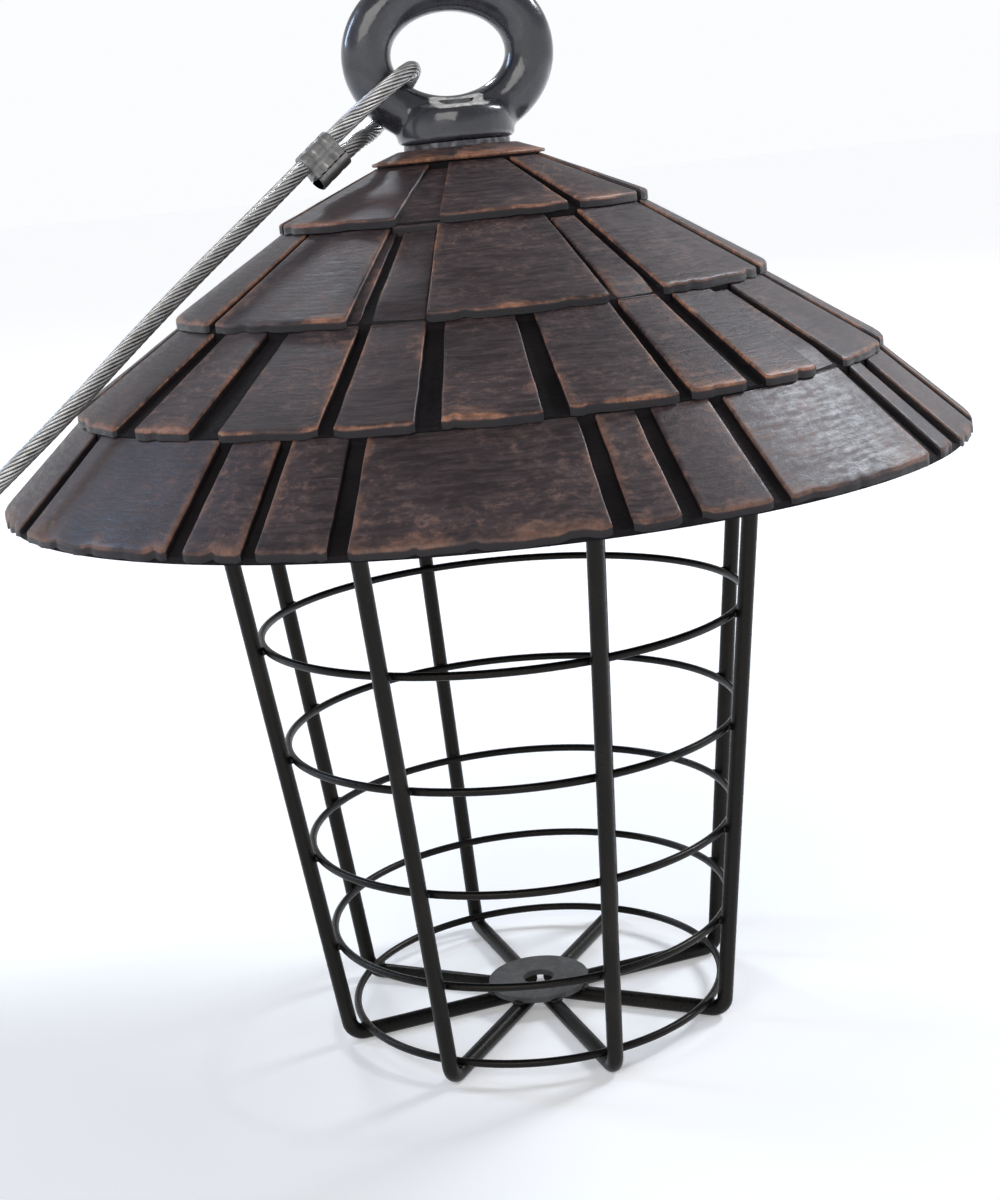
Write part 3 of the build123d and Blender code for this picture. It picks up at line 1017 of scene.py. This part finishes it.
# Where the painted highlight lies, from the middle of the eye: none to all
GLINT_ACROSS = (8.6 * MM, 5.0 * MM)
GLINT_LOW = (-13.8 * MM, -12.2 * MM)
GLINT_HIGH = (-9.0 * MM, -10.2 * MM)
GLINT_OUT = (1.5 * MM, 3.2 * MM)


def eye_point(across, up, forward):
    return EYE_CENTRE + eye_across * across + Vector((0, 0, up)) + eye_front * forward


def lathe(profile, sides):
    """Closed solid of revolution from (radius, height) points that start and end on the axis."""
    verts = [Vector((0, 0, profile[0][1]))]
    inner = profile[1:-1]
    for k in range(sides):
        turn = 2 * pi * k / sides
        verts += [Vector((r * cos(turn), r * sin(turn), z)) for r, z in inner]
    verts.append(Vector((0, 0, profile[-1][1])))
    faces = []
    rows = len(inner)
    for k in range(sides):
        here, after = 1 + k * rows, 1 + ((k + 1) % sides) * rows
        faces.append((0, after, here))
        for i in range(rows - 1):
            faces.append((here + i, after + i, after + i + 1, here + i + 1))
        faces.append((here + rows - 1, after + rows - 1, len(verts) - 1))
    return verts, faces


def ring_solid():
    """The eye's bar, a round section carried round a flattened ring."""
    verts, faces = [], []
    for i in range(RING_STEPS):
        turn = 2 * pi * i / RING_STEPS
        out = Vector((EYE_HALF_H * cos(turn), EYE_HALF_W * sin(turn))).normalized()
        for k in range(BAR_STEPS):
            roll = 2 * pi * k / BAR_STEPS
            reach = EYE_BAR_R * cos(roll)
            across = EYE_HALF_W * cos(turn) + out.x * reach
            up = EYE_HALF_H * sin(turn) + out.y * reach
            verts.append(eye_point(across, up, EYE_BAR_R * sin(roll)))
    for i in range(RING_STEPS):
        for k in range(BAR_STEPS):
            a, b = i * BAR_STEPS + k, i * BAR_STEPS + (k + 1) % BAR_STEPS
            c, d = (((i + 1) % RING_STEPS) * BAR_STEPS + x for x in (k, (k + 1) % BAR_STEPS))
            faces.append((a, b, d, c))
    return verts, faces


def saddle_solid():
    """Swelling where the bar runs into the collar."""
    verts, faces = [], []
    rings, sides = SADDLE_RINGS, SADDLE_SIDES
    half_across, half_forward, half_up = SADDLE_HALF
    for i in range(1, rings):
        polar = pi * i / rings
        for k in range(sides):
            turn = 2 * pi * k / sides
            verts.append(eye_point(
                half_across * sin(polar) * cos(turn),
                half_up * cos(polar) - SADDLE_DROP,
                half_forward * sin(polar) * sin(turn),
            ))
    for i in range(rings - 2):
        for k in range(sides):
            a, b = i * sides + k, i * sides + (k + 1) % sides
            faces.append((a, a + sides, b + sides, b))
    faces.append(tuple(range(sides)))
    faces.append(tuple((rings - 2) * sides + k for k in reversed(range(sides))))
    return verts, faces


def apply_modifiers(piece):
    """Keeps the piece's modified mesh and drops its modifiers."""
    depsgraph = bpy.context.evaluated_depsgraph_get()
    made = bpy.data.meshes.new_from_object(piece.evaluated_get(depsgraph))
    piece.modifiers.clear()
    piece.data = made


def make_eye():
    """Cast eye nut: bar, swelling and collar grown together, smoothed, then bored."""
    collar = [
        (0, SEAT_Z), (COLLAR_R - 0.9 * MM, SEAT_Z), (COLLAR_R - 0.1 * MM, SEAT_Z + 0.5 * MM),
        (COLLAR_R, SEAT_Z + 1.6 * MM), (COLLAR_R - 0.1 * MM, SEAT_Z + 4.5 * MM),
        (COLLAR_R - 0.6 * MM, SEAT_Z + 7.2 * MM), (COLLAR_R - 2.4 * MM, SEAT_Z + COLLAR_H),
        (0, SEAT_Z + COLLAR_H),
    ]
    verts, faces = [], []
    for part_verts, part_faces in (ring_solid(), lathe(collar, COLLAR_SIDES), saddle_solid()):
        start = len(verts)
        verts += part_verts
        faces += [tuple(start + i for i in face) for face in part_faces]
    eye = add_mesh("eye_nut_cast", verts, faces)
    fix_normals(eye)
    grown = eye.modifiers.new("grow", "REMESH")
    grown.mode = "VOXEL"
    grown.voxel_size = VOXEL
    soft = eye.modifiers.new("soften", "SMOOTH")
    soft.iterations = SMOOTH_TIMES
    apply_modifiers(eye)
    for vertex in eye.data.vertices:
        vertex.co.z = max(vertex.co.z, SEAT_Z)
    below = SEAT_Z - 2 * MM
    bore_line = [(0, below), (BORE_R, below), (BORE_R, BORE_TOP_Z), (0, BORE_TOP_Z)]
    bore = add_mesh("bore", *lathe(bore_line, BORE_SIDES))
    fix_normals(bore)
    cutter = eye.modifiers.new("bore", "BOOLEAN")
    cutter.operation = "DIFFERENCE"
    cutter.object = bore
    apply_modifiers(eye)
    bpy.data.objects.remove(bore)
    eye.data.shade_smooth()
    eye.data.set_sharp_from_angle(angle=EYE_SHARP)
    # Painted highlight on the inner bottom of the eye, near the bore
    painted_glint = []
    for vertex in eye.data.vertices:
        at = vertex.co - EYE_CENTRE
        share = smoothstep(*GLINT_ACROSS, abs(at.dot(eye_across)))
        share *= smoothstep(*GLINT_LOW, at.z) * smoothstep(*GLINT_HIGH, at.z)
        share *= smoothstep(*GLINT_OUT, abs(at.dot(eye_front)))
        painted_glint.append(share)
    add_floats(eye, "painted_glint", painted_glint)
    eye.data.materials.clear()
    eye.data.materials.append(ENAMEL)
    place(eye, "eye", "eye_enamel", "eye_nut")


make_eye()

# ---------------------------------------------------------------- weld beads

# Lengths in this section are in millimetres, up to each bead's points.
UPRIGHTS = 8
FIRST_UPRIGHT = radians(18.44)
CAGE_R = 53.0
CAGE_R_AT = 5.0
TAPER = 0.12
UPRIGHT_R = 2.0
RING_HEIGHTS = (108.0, 79.0, 52.0, 27.0)
LOW_RING = (49.0, 5.0)
PLATE_R = 13.4
PLATE_BEAD_Z = 3.9
FOOT_DROP = 0.95
SUNK = 0.1

# Half sizes of each kind of bead: outwards, sideways and up
RING_BEAD = (0.75, 1.75, 1.05)
FOOT_BEAD = (1.1, 1.6, 0.7)
PLATE_BEAD = (1.2, 1.7, 0.7)
BEAD_RINGS = 8
BEAD_SIDES = 12
BEAD_SWELL = 0.22


def bead(centre, sizes, axes, seed, verts, faces):
    """Adds a small uneven blob of weld."""
    rings, sides = BEAD_RINGS, BEAD_SIDES
    first = len(verts)
    for i in range(rings + 1):
        polar = pi * (i + 0.02) / (rings + 0.04)
        for k in range(sides):
            turn = 2 * pi * k / sides
            way = Vector((sin(polar) * cos(turn), sin(polar) * sin(turn), cos(polar)))
            swell = 1 + BEAD_SWELL * noise.noise(way * 1.7 + Vector((seed * 5.3, 0, 0)))
            parts = (axis * (w * size * swell * MM) for axis, w, size in zip(axes, way, sizes))
            verts.append(centre + sum(parts, Vector()))
    for i in range(rings):
        for k in range(sides):
            a, b = first + i * sides + k, first + i * sides + (k + 1) % sides
            faces.append((a, a + sides, b + sides, b))
    faces.append(tuple(first + k for k in range(sides)))
    faces.append(tuple(first + rings * sides + k for k in reversed(range(sides))))


def make_beads():
    """Beads where each ring meets each upright, and where the spokes meet the plate."""
    verts, faces = [], []
    up = Vector((0, 0, 1))
    for number in range(UPRIGHTS):
        turn = FIRST_UPRIGHT + number * 2 * pi / UPRIGHTS
        out = Vector((cos(turn), sin(turn), 0))
        axes = (out, Vector((-sin(turn), cos(turn), 0)), up)
        first_seed = number * 7
        for level, z in enumerate(RING_HEIGHTS):
            radius = CAGE_R + TAPER * (z - CAGE_R_AT) - UPRIGHT_R
            centre = (out * (radius - SUNK) + up * z) * MM
            bead(centre, RING_BEAD, axes, first_seed + level, verts, faces)
        centre = (out * LOW_RING[0] + up * (LOW_RING[1] - FOOT_DROP)) * MM
        bead(centre, FOOT_BEAD, axes, first_seed + 5, verts, faces)
        centre = (out * (PLATE_R - SUNK) + up * PLATE_BEAD_Z) * MM
        bead(centre, PLATE_BEAD, axes, first_seed + 6, verts, faces)
    beads = add_mesh("weld_beads", verts, faces)
    beads.data.materials.append(WELD_LOOK)
    place(beads, "cage", "ring_wire")


make_beads()

# ---------------------------------------------------------------- floor and light


FLOOR_HALF = 30.0
FLOOR_FADE = (0.3, 1.8)
FLOOR_GLOW = (0.25, 0.62)
WALL_FADE = (0.15, 0.38)
WALL_LIGHT = 1.0
SKY_LIGHT = 0.36


def make_floor():
    """Pale floor that glows a little more further off, so that it meets the white wall."""
    signs = ((-1, -1), (1, -1), (1, 1), (-1, 1))
    corners = [(x * FLOOR_HALF, y * FLOOR_HALF, 0) for x, y in signs]
    floor = add_mesh("floor", corners, [(0, 1, 2, 3)], smooth=False)
    look = Look("pale_floor", Emission_Color=rgb(0.97, 0.98, 1.0))
    tone = look.cloud(look.place(), 3.0)
    reach = look.node("VectorMath")
    reach.operation = "LENGTH"
    look.feed(reach.inputs[0], look.place())
    glow = look.cut(reach.outputs["Value"], *FLOOR_FADE, *FLOOR_GLOW)
    look.feed(look.shader.inputs["Emission Strength"], glow)
    color = look.blend(look.cut(tone, 0.3, 0.7), rgb(0.80, 0.80, 0.81), rgb(0.84, 0.84, 0.85))
    floor.data.materials.append(look.finish(color, 0.8))


def make_light(name, at, aim, size, power, color):
    data = bpy.data.lights.new(name, "AREA")
    data.shape = "RECTANGLE"
    data.size, data.size_y = size
    data.energy = power
    data.color = color
    lamp = bpy.data.objects.new(name, data)
    lamp.location = at
    lamp.rotation_mode = "QUATERNION"
    lamp.rotation_quaternion = (Vector(aim) - Vector(at)).to_track_quat("-Z", "Y")
    bpy.context.scene.collection.objects.link(lamp)


def make_world():
    """White low down, as a studio wall is, and dimmer overhead."""
    world = bpy.data.worlds.new("studio")
    world.use_nodes = True
    tree = world.node_tree
    coordinates = tree.nodes.new("ShaderNodeTexCoord")
    split = tree.nodes.new("ShaderNodeSeparateXYZ")
    level = tree.nodes.new("ShaderNodeMapRange")
    level.interpolation_type = "SMOOTHSTEP"
    level.inputs["From Min"].default_value = WALL_FADE[0]
    level.inputs["From Max"].default_value = WALL_FADE[1]
    level.inputs["To Min"].default_value = WALL_LIGHT
    level.inputs["To Max"].default_value = SKY_LIGHT
    tree.links.new(coordinates.outputs["Generated"], split.inputs["Vector"])
    tree.links.new(split.outputs["Z"], level.inputs["Value"])
    background = tree.nodes["Background"]
    background.inputs["Color"].default_value = rgb(0.97, 0.98, 1.0)
    tree.links.new(level.outputs["Result"], background.inputs["Strength"])
    bpy.context.scene.world = world


# Name, place, point it is turned to, size, watts and colour of each light
LIGHTS = (
    ("sky_window", (1.28, 0.71, 1.32), (0.06, -0.06, 0.17), (0.45, 0.5), 24, (0.88, 0.93, 1.0)),
    ("back_window", (-0.42, 1.10, 1.20), (-0.03, 0, 0.215), (0.16, 0.16), 3, (0.85, 0.92, 1.0)),
    ("left_window", (-1.3, 0.5, 0.95), (0, 0, 0.24), (0.25, 0.6), 6, (0.55, 0.72, 1.0)),
    ("front_fill", (-0.5, -1.6, 1.3), (0, 0, 0.1), (1.4, 1.0), 14, (1.0, 0.97, 0.93)),
)

make_floor()
make_world()
for light in LIGHTS:
    make_light(*light)

bpy.context.scene.view_settings.view_transform = "Standard"
